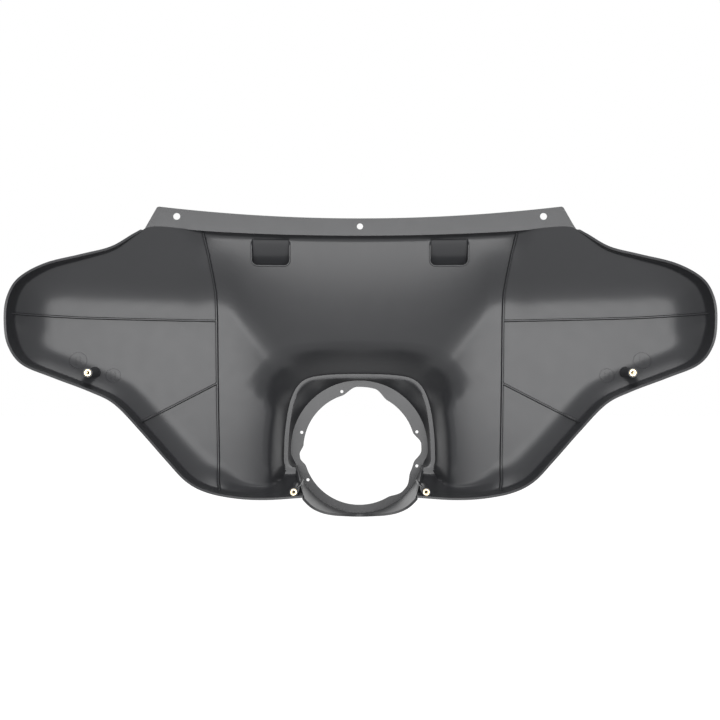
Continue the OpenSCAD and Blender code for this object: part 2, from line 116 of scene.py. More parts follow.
@dataclass(frozen=True)
class Finish:
    """A finish whose colour and roughness both change by noise, each given by its scale and detail."""

    name: str
    base: tuple[float, float, float]
    worn: tuple[float, float, float]
    patches: tuple[float, float]
    smoothest: float
    roughest: float
    wear: tuple[float, float]
    gloss: float = 0.5
    metallic: float = 0.0
    grain: float = 0.0
    grain_scale: float = 2600.0
    grain_step: float = 0.0002

    def material(self) -> Material:
        """Builds the node material.

        Returns:
            The material, with colour, roughness and bump from noise on Object coordinates.
        """
        mat, tree, shader = new_material(self.name)
        mix = tree.nodes.new("ShaderNodeMix")
        mix.data_type = "RGBA"
        mix.inputs["A"].default_value = (*self.base, 1)
        mix.inputs["B"].default_value = (*self.worn, 1)
        tree.links.new(noise(tree, *self.patches), mix.inputs["Factor"])
        tree.links.new(mix.outputs["Result"], shader.inputs["Base Color"])
        spread = tree.nodes.new("ShaderNodeMapRange")
        spread.inputs["To Min"].default_value = self.smoothest
        spread.inputs["To Max"].default_value = self.roughest
        tree.links.new(noise(tree, *self.wear), spread.inputs["Value"])
        tree.links.new(spread.outputs["Result"], shader.inputs["Roughness"])
        if self.grain:
            bump = tree.nodes.new("ShaderNodeBump")
            bump.inputs["Strength"].default_value = self.grain
            bump.inputs["Distance"].default_value = self.grain_step
            tree.links.new(noise(tree, self.grain_scale, 2.0), bump.inputs["Height"])
            tree.links.new(bump.outputs["Normal"], shader.inputs["Normal"])
        shader.inputs["Specular IOR Level"].default_value = self.gloss
        shader.inputs["Metallic"].default_value = self.metallic
        return mat


SATIN_PLASTIC = Finish("satin_black_plastic", base=(0.020, 0.0204, 0.022), worn=(0.026, 0.0265, 0.0285),
                       patches=(9.0, 3.0), smoothest=0.27, roughest=0.34, wear=(60.0, 4.0), gloss=0.29,
                       grain=0.035)
TURNED_BRASS = Finish("turned_brass", base=(0.78, 0.66, 0.42), worn=(0.5, 0.41, 0.27), patches=(500.0, 3.0),
                      smoothest=0.22, roughest=0.42, wear=(1500.0, 2.0), metallic=1.0)


# Curves and the free form of the skin


def smooth(t: Values) -> Values:
    """Smooth step from 0 to 1."""
    c = np.clip(t, 0, 1)
    return c * c * (3 - 2 * c)


def quarter(t: Values) -> Values:
    """Quarter ellipse that rises steeply from 0 and levels out at 1."""
    c = 1 - np.clip(t, 0, 1)
    return np.sqrt(1 - c * c)


class SmoothLine:
    """Catmull-Rom line through points, mirrored at its first point, for index values from 0 to its last."""

    reach = 0.02

    def __init__(self, points: Sequence[Sequence[float]]) -> None:
        """Keeps the points with one more at each end.

        Args:
            points: [x, z] points, the first on the centre line.
        """
        p = np.array(points, float)
        self.last = len(p) - 1
        self.padded = np.vstack([[-p[1, 0], p[1, 1]], p, 2 * p[-1] - p[-2]])

    def at(self, u: Values) -> np.ndarray:
        """Points of the line.

        Args:
            u: index values.

        Returns:
            One point for each value.
        """
        u = np.atleast_1d(np.asarray(u, float))
        k = np.minimum(np.floor(u).astype(int), self.last - 1)
        t = (u - k)[:, None]
        a, b, c, d = (self.padded[k + i] for i in range(4))
        square, cube = 2 * a - 5 * b + 4 * c - d, 3 * b - a - 3 * c + d
        return 0.5 * (2 * b + (c - a) * t + square * t**2 + cube * t**3)

    def normal(self, u: Values) -> np.ndarray:
        """Unit normals that point right of the running direction.

        Args:
            u: index values.

        Returns:
            One normal for each value.
        """
        u = np.atleast_1d(np.asarray(u, float))
        run = self.at(np.minimum(u + self.reach, self.last)) - self.at(np.maximum(u - self.reach, 0))
        side = np.stack([run[:, 1], -run[:, 0]], axis=1)
        side[u == 0] = [0, -1]
        return side / np.linalg.norm(side, axis=1, keepdims=True)


@dataclass
class SkinForm:
    """The free form of the moulding: its outline, its arch and the depth of its rear surface."""

    # Outline, edge and arch
    span: float = 900
    strip_half: float = 272
    sill: float = 299
    tip: float = 179
    belly: float = 59.5
    setback: float = 232
    sweep: float = 105
    wall: float = 3
    arch_top: float = 110.5
    arch_half: float = 109.5
    arch_set: float = 27
    arch_foot: float = -20
    band: float = 6
    seat_r: float = 101
    seat_foot: float = 26
    seat_fade: float = 20
    chin_r: float = 94.5
    chin_t: float = 3.5
    chin_drop: float = 2.5
    upper_shape: tuple = ((0, 1.057), (0.135, 0.963), (0.303, 0.805), (0.506, 0.711), (0.742, 0.602),
                          (0.91, 0.439), (0.983, 0.236), (1, 0))
    lower_shape: tuple = ((0.978, 0.13), (0.888, 0.235), (0.69, 0.306), (0.45, 0.382), (0.281, 0.453),
                          (0.101, 0.604), (-0.072, 0.767), (-0.206, 0.889), (-0.35, 0.954), (-0.55, 0.99),
                          (-0.756, 1))
    # Heights of the rear surface over its edge, the lengths over which they fade, and their soft corners
    panel_h: float = 43
    lip_h: float = 30
    lip_len: float = 3
    wall_slope: float = 0.75
    foot_slope: float = 3.2
    foot_x: float = 200
    foot_fade: float = 80
    fold_z: float = 190
    fold_len: float = 34
    under_slope: float = 0.5
    roll_slope: float = 0.5
    roll_lead: float = 4
    roll_drop: float = 6
    roll_blend: float = 8
    step_h: float = 16
    step_len: float = 6
    hood_rake: float = 28
    hood_swell: float = 18
    swell_bend: float = 0.75
    brow_half: float = 215
    brow_min: float = 0.3
    brow_power: float = 0.75
    brow_end: float = 240
    brow_fade: float = 40
    blend: float = 10
    ledge_blend: float = 10
    # The flare of the panels beside the arch and the steep wall round it
    flare_share: float = 0.42
    flare: float = 45
    leg_top: float = 0.93
    leg_foot: float = 0.07
    leg_z: float = 75
    leg_fade: float = 110
    leg_soft: float = 6
    rim_side: float = 22
    rim_crown: float = 42
    rim_power: float = 2
    crown_power: float = 0.6
    crown_z: float = 50
    crown_fade: float = 50

    def __post_init__(self) -> None:
        """Works out the outline, the arch and the edge that depths are counted from."""
        half = self.span / 2
        self.plan_r = (half**2 + self.sweep**2) / (2 * self.sweep)
        self.band_y = -self.arch_set
        self.chin_mid = self.chin_r + self.chin_t / 2
        top = self.sill + self.wall
        self.chin_z = self.belly - self.chin_drop
        self.chin_x = math.sqrt(self.chin_mid**2 - self.chin_z**2)
        points = [(0, top), (0.37 * self.strip_half, top + 0.8), (0.74 * self.strip_half, top + 3.3)]
        points += [(self.out(s), self.tip + t * (top - self.tip)) for s, t in self.upper_shape]
        points += [(self.out(s), self.tip - t * (self.tip + self.belly)) for s, t in self.lower_shape]
        points += [(self.chin_x, -self.chin_z)]
        self.outline = SmoothLine(points)
        self.tip_u = 2 + len(self.upper_shape)
        a, b, foot = self.arch_top, self.arch_half, self.arch_foot
        inside = math.sqrt(self.chin_mid**2 - self.seat_foot**2)
        self.arch = SmoothLine([(0, a), (45, a - 1.2), (74, a - 6), (0.82 * b, a - 17.5),
                                (0.909 * b, a - 37.5), (0.959 * b, a - 61.5), (0.99 * b, 20), (b, -8),
                                (b - 1, foot), (b - 7, -25.5), (inside, -self.seat_foot)])
        self.arch_line = np.vstack([self.arch.at(np.linspace(0, 8, 65)), [[b - 1, foot - self.belly]]])
        upper = np.linspace(0, self.tip_u, self.tip_u * 4 + 1)
        lower = np.linspace(self.tip_u, self.outline.last, (self.outline.last - self.tip_u) * 4 + 1)
        self.upper_edge, self.lower_edge = self.inner_edge(upper), self.inner_edge(lower)

    def out(self, share: float) -> float:
        """Place across, at a share of the way from the strip's end to the tip, or to the chin if below 0."""
        reach = self.span / 2 - self.strip_half if share > 0 else self.strip_half - self.chin_x
        return self.strip_half + share * reach

    def inner_edge(self, u: Values) -> np.ndarray:
        """Edge of the rear surface, one wall thickness inside the outline."""
        return self.outline.at(u) + self.wall * self.outline.normal(u)

    def edge_y(self, x: Values) -> Values:
        """Depth of the moulding's edge at a distance x from the centre line."""
        return self.sweep - self.setback - (self.plan_r - np.sqrt(self.plan_r**2 - np.square(x)))

    @staticmethod
    def distance(p: np.ndarray, line: np.ndarray) -> np.ndarray:
        """Distance of points from a line of points.

        Args:
            p: points, one a row.
            line: corners of the line, one a row.

        Returns:
            One distance for each point.
        """
        a, run = line[:-1], np.diff(line, axis=0)
        t = np.clip(np.einsum("pki,ki->pk", p[:, None] - a, run) / np.einsum("ki,ki->k", run, run), 0, 1)
        return np.linalg.norm(p[:, None] - a - t[..., None] * run, axis=2).min(axis=1)

    @staticmethod
    def soft_min(a: np.ndarray, b: np.ndarray, size: float) -> np.ndarray:
        """The lesser of two heights, with a soft corner that fades out near the edge.

        Args:
            a: the first heights.
            b: the second heights.
            size: size of the corner.

        Returns:
            The joined heights.
        """
        k = np.maximum(0.001, np.minimum(size, a + b))
        h = np.maximum(k - abs(a - b), 0) / k
        return np.minimum(a, b) - h * h * k / 4

    def hood(self, x: np.ndarray, z: np.ndarray, d: np.ndarray) -> np.ndarray:
        """Height of the hood in the middle, and of the upper roll of the wings.

        Args:
            x: distances from the centre line.
            z: heights in the view.
            d: distances from the upper edge.

        Returns:
            Heights of the surface over the moulding's edge.
        """
        length, bend = self.sill - self.arch_top, self.swell_bend
        brow = np.maximum(self.brow_min, 1 - (x / self.brow_half) ** 2) ** self.brow_power
        t = d / (length * brow)
        swell = np.minimum(t, bend) ** 3 + 3 * bend**2 * np.maximum(0, t - bend)
        inner = self.step_h * quarter(d / self.step_len) + self.hood_rake * d / length
        inner = inner + self.hood_swell * swell
        up = z - self.fold_z
        u = np.clip(up / self.fold_len, 0, 1)
        ramp = self.fold_len * (u**3 - u**4 / 2) + np.maximum(0, up - self.fold_len)
        under = self.under_slope * np.maximum(0, -up)
        roll = self.panel_h + self.roll_lead - self.roll_slope * ramp + under
        edge = (self.lip_h - self.roll_drop) * quarter(d / self.lip_len) + self.wall_slope * d
        outer = self.soft_min(roll, edge, self.roll_blend)
        w = smooth((x - self.brow_end + self.brow_fade) / self.brow_fade)
        return (1 - w) * inner + w * outer

    def panel(self, x: np.ndarray, z: np.ndarray) -> np.ndarray:
        """Height of a wing panel, which flares up towards the arch beside the nacelle.

        Args:
            x: distances from the centre line.
            z: heights in the view.

        Returns:
            Heights of the surface over the moulding's edge.
        """
        leg = self.arch_half * (self.leg_top + self.leg_foot * smooth((self.leg_z - z) / self.leg_fade))
        away = self.leg_soft * np.logaddexp(0, (x - leg) / self.leg_soft)
        rise = self.band_y - self.edge_y(x) - self.panel_h
        return self.panel_h + self.flare_share * rise * np.exp(-away / self.flare)

    def rim_share(self, x: np.ndarray, z: np.ndarray, p: np.ndarray) -> np.ndarray:
        """Share of the steep wall round the arch.

        Args:
            x: distances from the centre line.
            z: heights in the view.
            p: the same places, one a row.

        Returns:
            Shares, 1 at the arch and under its foot, and fading out away from it.
        """
        off = self.distance(p, self.arch_line)
        off[(z < self.arch_foot) & (x < self.arch_half - 1)] = 0
        crown = smooth((z - self.crown_z) / self.crown_fade)
        wide = self.rim_side + (self.rim_crown - self.rim_side) * crown
        return np.maximum(0, 1 - off / wide) ** (self.rim_power - self.crown_power * crown)

    def depth(self, x: Values, z: Values) -> np.ndarray:
        """Depth of the rear surface.

        Args:
            x: places across.
            z: heights.

        Returns:
            Y of the rear surface at each place, never ahead of the arch's band.
        """
        x, z = np.abs(np.atleast_1d(np.asarray(x, float))), np.atleast_1d(np.asarray(z, float))
        p = np.stack([x, z], axis=1)
        low = self.distance(p, self.lower_edge)
        slope = self.wall_slope + self.foot_slope * smooth((self.foot_x - x) / self.foot_fade)
        side = self.lip_h * quarter(low / self.lip_len) + slope * low
        top = self.hood(x, z, self.distance(p, self.upper_edge))
        height = self.soft_min(top, self.panel(x, z), self.blend)
        height += (self.band_y - self.edge_y(x) - height) * self.rim_share(x, z, p)
        return np.minimum(self.band_y, self.edge_y(x) + self.soft_min(height, side, self.ledge_blend))

    def seat_radius(self, z: np.ndarray) -> np.ndarray:
        """Radius at which the wall inside the arch meets the lamp flange."""
        return self.chin_mid + (self.seat_r - self.chin_mid) * smooth((z + self.seat_foot) / self.seat_fade)


# Mesh helpers


def on_circle(radius: float, degrees: float) -> tuple[float, float]:
    """Place on a circle, as x and z."""
    return radius * math.cos(math.radians(degrees)), radius * math.sin(math.radians(degrees))


def moved(bm: BMesh, verts: list, place: tuple[float, float, float]) -> None:
    """Moves corners of a mesh by a length in millimetres."""
    bmesh.ops.translate(bm, vec=Vector(place) * MM, verts=verts)


def grid_mesh(bm: BMesh, rows: np.ndarray, closed: bool = False) -> None:
    """Adds a grid of faces and moves its corners to given places.

    Args:
        bm: mesh that takes the grid.
        rows: places in millimetres, shaped rows by columns by 3.
        closed: joins the first and the last column and fills both ends.
    """
    n_rows, n_cols = rows.shape[:2]
    made = bmesh.ops.create_grid(bm, x_segments=n_cols - 1, y_segments=n_rows - 1, size=1)["verts"]
    for vert, place in zip(made, rows.reshape(-1, 3)):
        vert.co = Vector(place) * MM
    if closed:
        bmesh.ops.remove_doubles(bm, verts=made, dist=WELD)
        bmesh.ops.holes_fill(bm, edges=[e for e in bm.edges if e.is_boundary], sides=0)


def extrude(bm: BMesh, faces: Sequence[BMFace], length: float) -> None:
    """Grows faces forward into a closed solid.

    Args:
        bm: their mesh.
        faces: the faces.
        length: how far they grow along Y.
    """
    grown = bmesh.ops.extrude_face_region(bm, geom=faces)["geom"]
    moved(bm, [g for g in grown if isinstance(g, BMVert)], (0, length, 0))


def cylinder(bm: BMesh, x: float, z: float, y0: float, y1: float, radius: float,
             segments: int = 64) -> None:
    """Adds a closed cylinder along Y.

    Args:
        bm: mesh that takes it.
        x: place across.
        z: height.
        y0: depth of its rear end.
        y1: depth of its front end.
        radius: its radius.
        segments: sides.
    """
    centre = Matrix.Translation(Vector((x, (y0 + y1) / 2, z)) * MM)
    place = centre @ Matrix.Rotation(math.radians(-90), 4, "X")
    bmesh.ops.create_cone(bm, cap_ends=True, segments=segments, radius1=radius * MM, radius2=radius * MM,
                          depth=abs(y1 - y0) * MM, matrix=place)


def revolve(bm: BMesh, profile: Points, x: float, z: float,
            segments: int = 96) -> None:
    """Spins a closed profile about an axis along Y.

    Args:
        bm: mesh that takes the ring.
        profile: (radius, y) corners.
        x: place of the axis across.
        z: height of the axis.
        segments: steps of the full turn.
    """
    verts = [bm.verts.new(Vector((x + r, y, z)) * MM) for r, y in profile]
    loop = [bm.edges.new((verts[i], verts[(i + 1) % len(verts)])) for i in range(len(verts))]
    bmesh.ops.spin(bm, geom=verts + loop, cent=Vector((x, 0, z)) * MM, axis=(0, 1, 0), angle=2 * math.pi,
                   steps=segments, use_merge=True)
    bmesh.ops.remove_doubles(bm, verts=bm.verts[:], dist=WELD)


def finish_mesh(bm: BMesh, name: str, outward: bool = True) -> Object:
    """Turns a bmesh into a linked object.

    Args:
        bm: the mesh, which is freed.
        name: name of the object and its mesh.
        outward: turns all faces outwards first.

    Returns:
        The object at the origin.
    """
    if outward:
        bmesh.ops.recalc_face_normals(bm, faces=bm.faces[:])
    mesh = bpy.data.meshes.new(name)
    bm.to_mesh(mesh)
    bm.free()
    obj = bpy.data.objects.new(name, mesh)
    bpy.context.scene.collection.objects.link(obj)
    return obj


def apply_modifiers(obj: Object) -> None:
    """Replaces an object's mesh by its result and removes the modifiers."""
    bpy.context.view_layer.update()
    graph = bpy.context.evaluated_depsgraph_get()
    mesh = bpy.data.meshes.new_from_object(obj.evaluated_get(graph), preserve_all_data_layers=True,
                                           depsgraph=graph)
    old = obj.data
    obj.modifiers.clear()
    obj.data = mesh
    mesh.name = obj.name
    bpy.data.meshes.remove(old)


def cut(obj: Object, cutter: Object) -> None:
    """Cuts one closed object out of another, exactly, and removes the cutter.

    Args:
        obj: piece that is cut.
        cutter: closed object that takes the material away.
    """
    hole = obj.modifiers.new("holes", "BOOLEAN")
    hole.operation, hole.solver, hole.object = "DIFFERENCE", "EXACT", cutter
    apply_modifiers(obj)
    bpy.data.objects.remove(cutter)


def dress(obj: Object, material: Material, crease: float = 40, bevel: float = 0.0) -> None:
    """Gives a piece its finish, its shading and its body.

    Args:
        obj: the piece.
        material: its finish.
        crease: angle in degrees past which an edge stays sharp.
        bevel: width in millimetres of the rounding on sharp edges, 0 for none.
    """
    obj.data.materials.clear()
    obj.data.materials.append(material)
    if bevel:
        soft = obj.modifiers.new("edge_radius", "BEVEL")
        soft.width, soft.segments, soft.limit_method = bevel * MM, 2, "ANGLE"
        soft.angle_limit = math.radians(crease)
        apply_modifiers(obj)
    obj.data.shade_smooth()
    obj.data.set_sharp_from_angle(angle=math.radians(min(crease, BEVELLED_CREASE) if bevel else crease))
    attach(obj, BODY)
    log.info("%s: %d faces", obj.name, len(obj.data.polygons))


# Sub-assemblies


@dataclass
class Moulded:
    """A part of the moulding: the form that it follows and its plastic."""

    form: SkinForm
    plastic: Material

    def moulding(self, mesh: BMesh | Object, name: str = "", crease: float = 40, bevel: float = 0.0) -> None:
        """Dresses a piece of the moulding.

        Args:
            mesh: its mesh, or the object that is made of it already.
            name: name of the new object.
            crease: angle in degrees past which an edge stays sharp.
            bevel: width of the rounding on sharp edges, 0 for none.
        """
        obj = mesh if isinstance(mesh, Object) else finish_mesh(mesh, name)
        return dress(obj, self.plastic, crease, bevel)


@dataclass
class Skin(Moulded):
    """The thin free-form wall from the outer edge to the seat of the lamp flange."""

    steps: int = 7
    edge_rows: tuple = (0, 0.3, 0.8, 1.5, 2.3, 3, 4, 5.5, 7.5, 10, 13, 17, 22, 28, 36, 46)
    middle_rows: int = 15
    arch_rows: tuple = (34, 28, 22, 16, 11, 7, 4, 1.8, 0)
    fan_outline: tuple = (0, 2, 3, 4, 7, 10, 14, 18, 20, 21, 22)
    fan_arch: tuple = (0, 1.7, 2.5, 3.1, 4, 4.8, 5.6, 6.5, 7.3, 8.6, 10)
    edge_lean: float = 0.2
    arch_lean: float = 0.6
    full_reach: float = 120
    seat_lip: float = 1.6

    @staticmethod
    def lean(chord: np.ndarray, normal: np.ndarray, share: float) -> np.ndarray:
        """Unit directions that lean from the chord towards the normal by a share."""
        mixed = (1 - share) * chord + share * normal
        return mixed / np.linalg.norm(mixed, axis=1, keepdims=True)

    def half(self) -> np.ndarray:
        """Places of the right half, one grid line for each step along the outline.

        Returns:
            Places shaped lines by rows by 3.
        """
        form = self.form
        u = np.linspace(0, form.outline.last, form.outline.last * self.steps + 1)
        v = np.interp(u, self.fan_outline, self.fan_arch)
        a, b = form.inner_edge(u), form.arch.at(v)
        reach = np.linalg.norm(b - a, axis=1)
        chord = (b - a) / reach[:, None]
        da = self.lean(chord, form.outline.normal(u), self.edge_lean) * reach[:, None]
        db = self.lean(chord, form.arch.normal(v), self.arch_lean) * reach[:, None]
        fit = np.minimum(1, reach / self.full_reach)
        near, far = fit * self.edge_rows[-1], fit * self.arch_rows[0]
        middle = np.linspace(0, 1, self.middle_rows + 2)[1:-1]
        t = np.concatenate([np.outer(fit / reach, self.edge_rows),
                            (near[:, None] + np.outer(reach - near - far, middle)) / reach[:, None],
                            1 - np.outer(fit / reach, self.arch_rows)], axis=1)[..., None]
        a, b, da, db = (w[:, None] for w in (a, b, da, db))
        flat = ((2 * t**3 - 3 * t**2 + 1) * a + (t**3 - 2 * t**2 + t) * da + (3 * t**2 - 2 * t**3) * b
                + (t**3 - t**2) * db)
        y = form.depth(flat[..., 0].ravel(), flat[..., 1].ravel()).reshape(flat.shape[:2])
        y[:, 0] = form.edge_y(flat[:, 0, 0]) + 1 - smooth((u - 2.4) / 0.5)
        y[:, -1] = form.band_y
        rows = np.stack([flat[..., 0], y, flat[..., 1]], axis=2)
        return np.concatenate([rows, self.seat(form.arch.at(v))], axis=1)

    def seat(self, rim: np.ndarray) -> np.ndarray:
        """Rows of the flat band round the arch and of the slanted wall inside it.

        Args:
            rim: points of the arch, as x and z.

        Returns:
            Places shaped lines by rows by 3.
        """
        form = self.form
        r = np.linalg.norm(rim, axis=1)
        ray = rim / r[:, None]
        rs = np.minimum(r, form.seat_radius(rim[:, 1]))
        ri = np.maximum(rs, r - form.band)
        lip, drop = self.seat_lip, form.arch_set - self.seat_lip
        marks = [(ri + 0.35 * (r - ri), 0.0), (ri, 0.3), (ri - 0.06 * (ri - rs), lip)]
        marks += [(ri + share * (rs - ri), lip + share * drop) for share in (0.3, 0.6, 1.0)]
        rows = [(ray[:, 0] * q, np.full_like(q, form.band_y + d), ray[:, 1] * q) for q, d in marks]
        return np.stack([np.stack(row, axis=1) for row in rows], axis=1)

    def build(self) -> Object:
        """Makes the wall, which stands for the CAD shell.

        Returns:
            The closed, thick wall.
        """
        right = self.half()
        left = right[:0:-1] * np.array([-1, 1, 1])
        bm = bmesh.new()
        grid_mesh(bm, np.concatenate([left, right]))
        bm.normal_update()
        bm.faces.ensure_lookup_table()
        if bm.faces[len(bm.faces) // 2].normal.y > 0:
            bmesh.ops.reverse_faces(bm, faces=bm.faces[:])
        obj = finish_mesh(bm, "shell_skin", outward=False)
        thick = obj.modifiers.new("wall", "SOLIDIFY")
        thick.thickness, thick.offset = self.form.wall * MM, -1
        thick.use_quality_normals = True
        apply_modifiers(obj)
        self.moulding(obj)
        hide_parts("outer_shell")
        return obj


@dataclass
class Pocket(Moulded):
    """A small tub that is let into the skin under the windshield strip."""

    name: str
    side: int
    inner: float = 97
    outer: float = 147
    low: float = 260
    corner: float = 7
    rim: float = 2.5
    thickness: float = 2
    shallow: float = 2.5
    dip: float = 13
    sunk: float = 1.2
    fade: float = 10
    cutter_y: float = -160
    cutter_len: float = 100

    def __post_init__(self) -> None:
        """Works out the middle and the upper end."""
        self.mid = (self.inner + self.outer) / 2
        self.top = self.form.sill - 4

    def outline(self, grow: float) -> np.ndarray:
        """Outline down the outer side and up the inner side.

        Args:
            grow: how far it lies outside the tub's inside.

        Returns:
            Places as x and z.
        """
        half, r = (self.outer - self.inner) / 2, self.corner + grow
        z = np.linspace(self.top + grow, self.low + self.corner, 13)[:-1]
        turn = np.radians(np.linspace(0, -90, 9))
        xs = np.concatenate([np.full(12, half + grow), half - self.corner + r * np.cos(turn)])
        zs = np.concatenate([z, self.low + self.corner + r * np.sin(turn)])
        flat = np.linspace(1, -1, 10)[1:-1] * (half - self.corner)
        x = self.mid + np.concatenate([xs, flat, -xs[::-1], -np.linspace(1, -1, 12)[1:-1] * (half + grow)])
        z = np.concatenate([zs, np.full(8, self.low - grow), zs[::-1], np.full(10, self.top + grow)])
        return np.stack([x, z], axis=1)

    def lip(self, z: np.ndarray) -> np.ndarray:
        """Height of the rim behind the skin, which sinks in at the upper end."""
        down = (self.top - z) / self.fade
        return self.rim * smooth(down) - self.sunk * smooth(1 - down)

    def floor(self, z: np.ndarray) -> np.ndarray:
        """Depth of the floor ahead of the skin, which dips towards the lower end."""
        return self.shallow + self.dip * np.clip((self.top - z) / (self.top - self.low), 0, 1) ** 1.6

    def ring(self, grow: float, share: float, off: float, scale: float = 1) -> np.ndarray:
        """One ring of the tub's surface.

        Args:
            grow: how far it lies outside the tub's inside.
            share: 0 at the rim and 1 at the floor.
            off: distance ahead of that height.
            scale: size of the ring about the tub's middle.

        Returns:
            Places of the ring, the first again at its end.
        """
        flat = self.outline(grow)
        centre = np.array([self.mid, (self.top + self.low) / 2])
        x, z = (centre + scale * (flat - centre)).T
        y = self.form.depth(x, z) + (1 - share) * -self.lip(z) + share * self.floor(z) + off
        rows = np.stack([self.side * x, y, z], axis=1)
        return np.vstack([rows, rows[:1]])

    def build(self, skin: Object) -> None:
        """Cuts the skin open and sets the tub into it.

        Args:
            skin: the skin.
        """
        prism = bmesh.new()
        flat = self.outline(self.thickness / 2)
        ring = [prism.verts.new(Vector((self.side * x, self.cutter_y, z)) * MM) for x, z in flat]
        extrude(prism, [prism.faces.new(ring)], self.cutter_len)
        cut(skin, finish_mesh(prism, "pocket_cutter"))
        skin.data.set_sharp_from_angle(angle=math.radians(40))
        t = self.thickness
        marks = [(t, 1, t, 0.1), (t, 1, t, 0.5), (t, 1, t, 0.9), (t - 0.5, 1, t), (t, 1, t - 0.5),
                 (t, 0, 0.5), (t - 0.2, 0, 0.12), (t - 0.5, 0, 0), (0.5, 0, 0), (0.2, 0, 0.12), (0, 0, 0.5),
                 (0, 1, -1.6), (-0.4, 1, -0.6), (-1, 1, -0.1), (-2, 1, 0)]
        marks += [(-2, 1, 0, scale) for scale in (0.9, 0.8, 0.7, 0.55, 0.4, 0.25, 0.1)]
        bm = bmesh.new()
        grid_mesh(bm, np.stack([self.ring(*mark) for mark in marks]), closed=True)
        self.moulding(bm, self.name, crease=50)


@dataclass
class Ribs(Moulded):
    """Stiffening ribs: an upright, a level and a raked one on each side."""

    width: float = 2.2
    height: float = 5
    x: float = 197.5
    level_z: float = 184
    raked_z: float = 98
    raked_x: float = 294
    pitch: float = 3.0
    least: float = 0.4
    sunk: float = 0.3
    foot: float = 0.9
    flank: tuple = ((0.9, -0.1), (0.25, 0.12), (0, 0.3), (-0.25, 0.9), (-0.6, 1.0))

    def spread(self, corners: Points) -> np.ndarray:
        """Points at an even pitch along straight runs between corners.

        Args:
            corners: [x, z] corners of the path.

        Returns:
            The points, one a row.
        """
        points = []
        for a, b in zip(corners[:-1], corners[1:]):
            a, b = np.array(a, float), np.array(b, float)
            n = max(1, round(np.linalg.norm(b - a) / self.pitch))
            points += [a + (b - a) * k / n for k in range(n)]
        return np.array(points + [np.array(corners[-1], float)])

    def rail(self, bm: BMesh, corners: Points) -> None:
        """Adds one rib along a path on the skin.

        Args:
            bm: mesh that takes it.
            corners: [x, z] corners of the path.
        """
        p = self.spread(corners)
        run = np.gradient(p, axis=0)
        run /= np.linalg.norm(run, axis=1, keepdims=True)
        side = np.stack([run[:, 1], -run[:, 0]], axis=1)
        half = self.width / 2
        base = self.form.depth(p[:, 0], p[:, 1])
        crest = np.maximum(self.form.edge_y(p[:, 0]) + self.least, base - self.height)
        flank = [(half + across, share) for across, share in self.flank]
        columns = []
        for across, share in flank + [(-across, share) for across, share in flank[::-1]]:
            q = p + across * side
            ground = self.form.depth(q[:, 0], q[:, 1])
            foot = ground if share < 0.2 else base
            y = ground + self.sunk if share < 0 else foot + (crest - base) * share
            columns.append(np.stack([q[:, 0], y, q[:, 1]], axis=1))
        for across in (-half - self.foot, half + self.foot):
            q = p + across * side
            ground = self.form.depth(q[:, 0], q[:, 1]) + 0.5 * self.form.wall
            columns.append(np.stack([q[:, 0], ground, q[:, 1]], axis=1))
        columns.append(columns[0])
        grid_mesh(bm, np.stack(columns, axis=1), closed=True)

    def paths(self) -> list[list[tuple[float, float]]]:
        """Paths of the right half.

        Returns:
            The upright, the level and the raked path, as [x, z] corners.
        """
        x, top = self.x, self.form.sill + 1
        upright = [(x + 13.5, top), (x + 8, top - 26), (x + 3.5, top - 56), (x + 0.9, top - 79),
                   (x, self.level_z), (x - 0.8, self.raked_z), (x - 2.9, -35), (x - 6.5, -51)]
        level = [(x, self.level_z), (276, 184.5), (372, 185.5), (435, 188.2), (448, 188.7)]
        raked = [(x - 0.8, self.raked_z), (self.raked_x, 46.5)]
        return [upright, level, raked]

    def build(self) -> None:
        """Makes the ribs of both halves, one object for each side."""
        for name, sign in (("ribs_right", 1), ("ribs_left", -1)):
            bm = bmesh.new()
            for path in self.paths():
                self.rail(bm, path)
            bmesh.ops.scale(bm, vec=(sign, 1, 1), verts=bm.verts[:])
            self.moulding(bm, name, crease=50)


